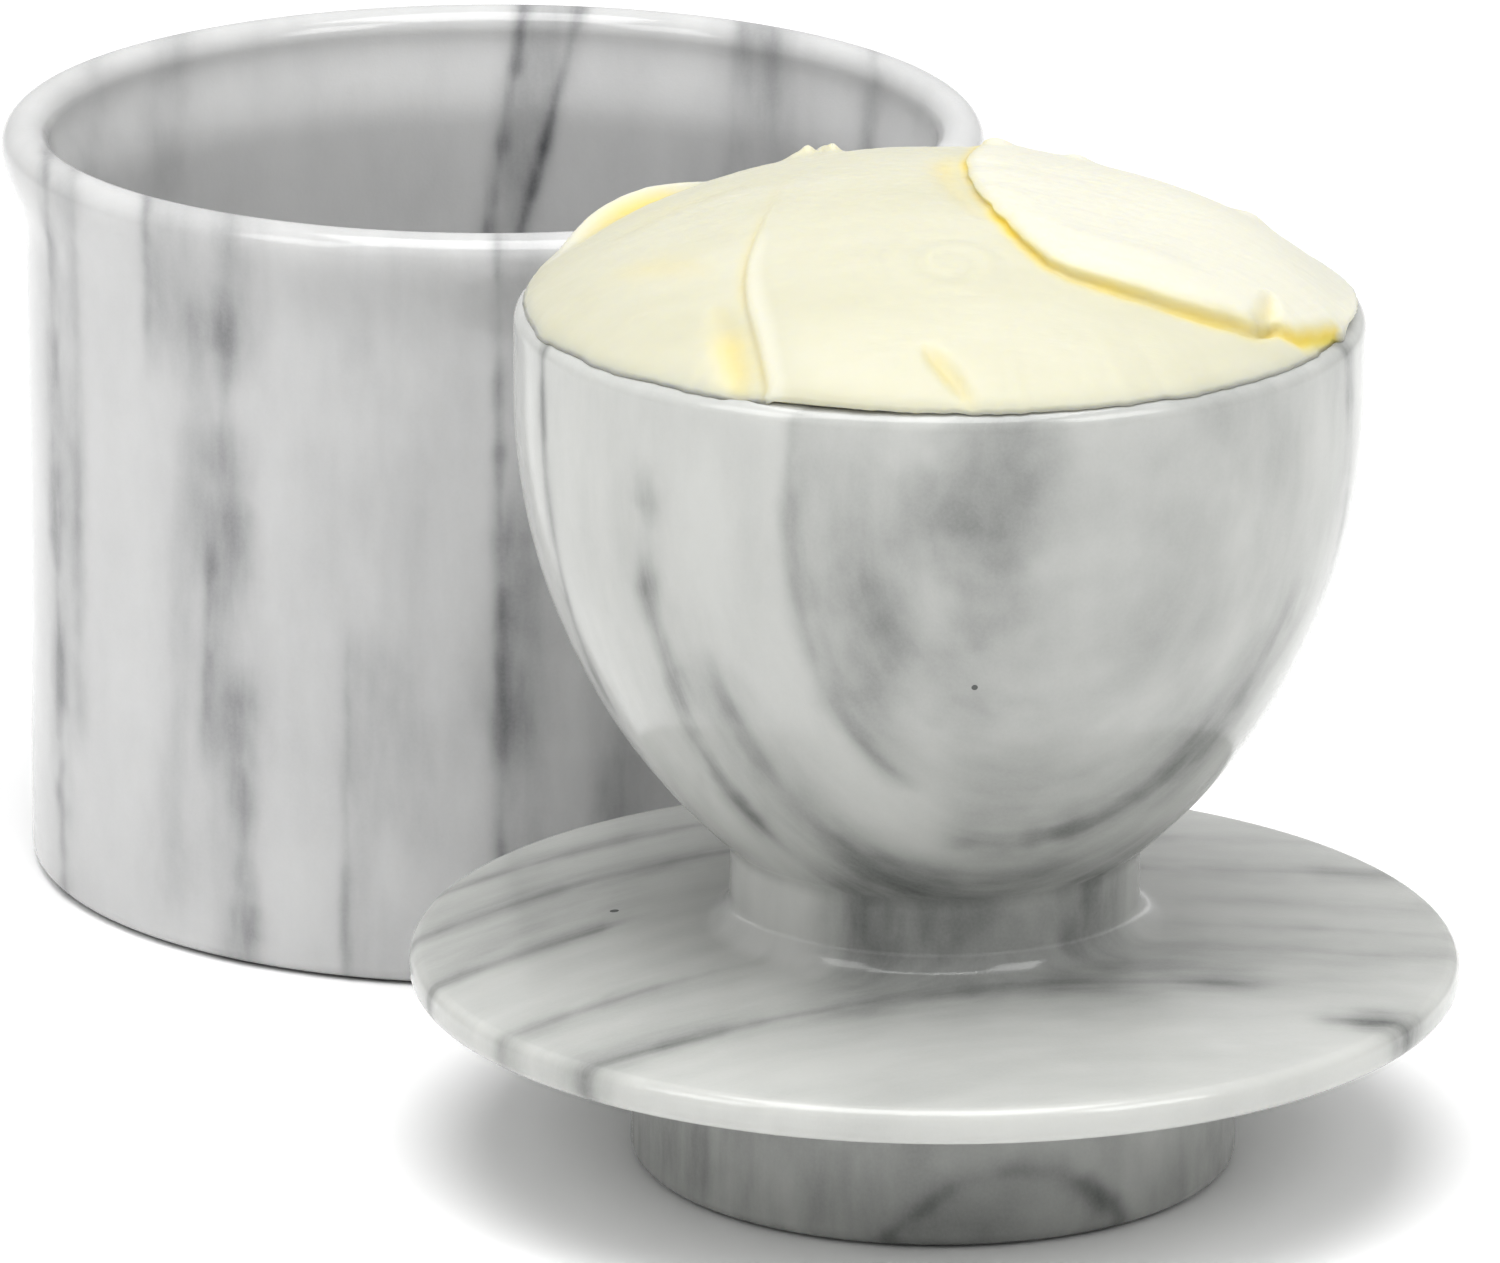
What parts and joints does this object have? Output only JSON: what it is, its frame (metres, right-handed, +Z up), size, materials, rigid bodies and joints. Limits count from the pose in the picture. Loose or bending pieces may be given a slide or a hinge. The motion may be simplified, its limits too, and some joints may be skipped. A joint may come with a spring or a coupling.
{
  "type": "butter crock",
  "caption": "Round marble pot with an outward-rolled lip and a one-piece bell lid standing upside down beside it, its bell heaped with butter.",
  "frame": {"origin": "centre of the pot's underside, on the table", "axes": "+Z up along the pot's axis; the turned-over lid stands towards +X and -Y of the pot"},
  "size_m": [0.1468, 0.1994, 0.0991],
  "materials": {
    "crock_marble": "polished",
    "lid_marble": "polished",
    "butter": "soft satin"
  },
  "bodies": {
    "crock": {"crock": "crock_marble"},
    "lid": {"lid": "lid_marble"},
    "butter": {"butter": "butter"}
  },
  "joints": [
    {"name": "lid_lift", "type": "slide", "parent": "crock", "child": "lid", "axis": [0, 0, 1], "range_m": [0, 0.1]},
    {"name": "butter_lift", "type": "slide", "parent": "lid", "child": "butter", "axis": [0, 0, 1], "range_m": [0, 0.065]}
  ]
}
